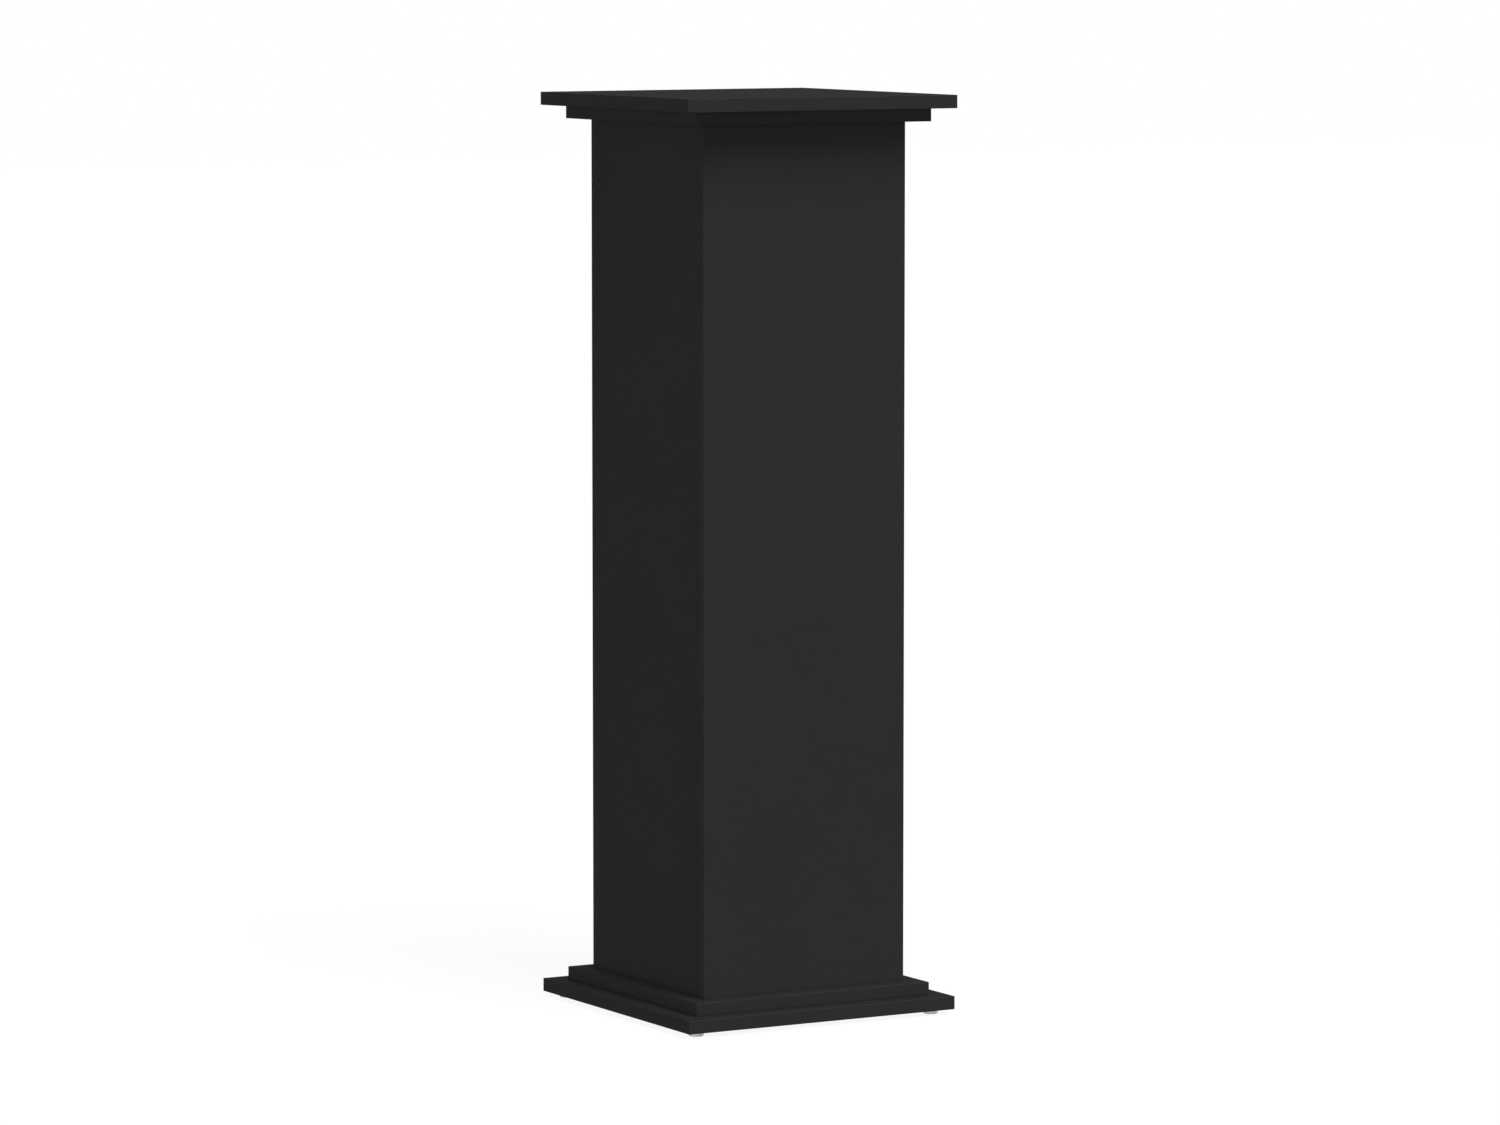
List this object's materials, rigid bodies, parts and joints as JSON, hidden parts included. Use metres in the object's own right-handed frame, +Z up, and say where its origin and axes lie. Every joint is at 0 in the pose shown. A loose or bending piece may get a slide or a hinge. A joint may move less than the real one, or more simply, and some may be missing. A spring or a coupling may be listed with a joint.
{
  "type": "display plinth",
  "caption": "Tall square display plinth: a hollow panelled column between stepped top and base boards, with a flat square top to stand an object on.",
  "frame": {"origin": "centre of the footprint, on the floor under the glides", "axes": "+Z up; the front panel faces -Y, the left panel faces -X"},
  "size_m": [0.3, 0.3, 0.905],
  "materials": {
    "black_board": "matt black melamine-faced chipboard",
    "black_edging": "matt black edging strip",
    "pale_plastic": "moulded pale plastic",
    "plated_steel": "zinc-plated",
    "zinc_casting": "die-cast, dull",
    "beech": "raw fluted beech"
  },
  "bodies": {
    "root": {"top_board": "black_board", "upper_step_board": "black_board", "front_panel": "black_board", "back_panel": "black_board", "left_panel": "black_board", "right_panel": "black_board", "lower_step_board": "black_board", "base_board": "black_board", "top_board_edging": "black_edging", "upper_step_edging": "black_edging", "front_panel_edging": "black_edging", "back_panel_edging": "black_edging", "lower_step_edging": "black_edging", "base_board_edging": "black_edging", "glide_front_left": "pale_plastic", "glide_front_right": "pale_plastic", "glide_back_left": "pale_plastic", "glide_back_right": "pale_plastic", "glide_nails": "plated_steel", "column_cam_bolts": "plated_steel", "top_cam_bolts": "plated_steel", "column_cam_locks": "zinc_casting", "top_cam_locks": "zinc_casting", "column_dowels": "beech", "top_dowels": "beech", "foot_dowels": "beech", "top_board_screws": "plated_steel", "panel_end_screws": "plated_steel", "base_board_screws": "plated_steel"}
  },
  "joints": []
}
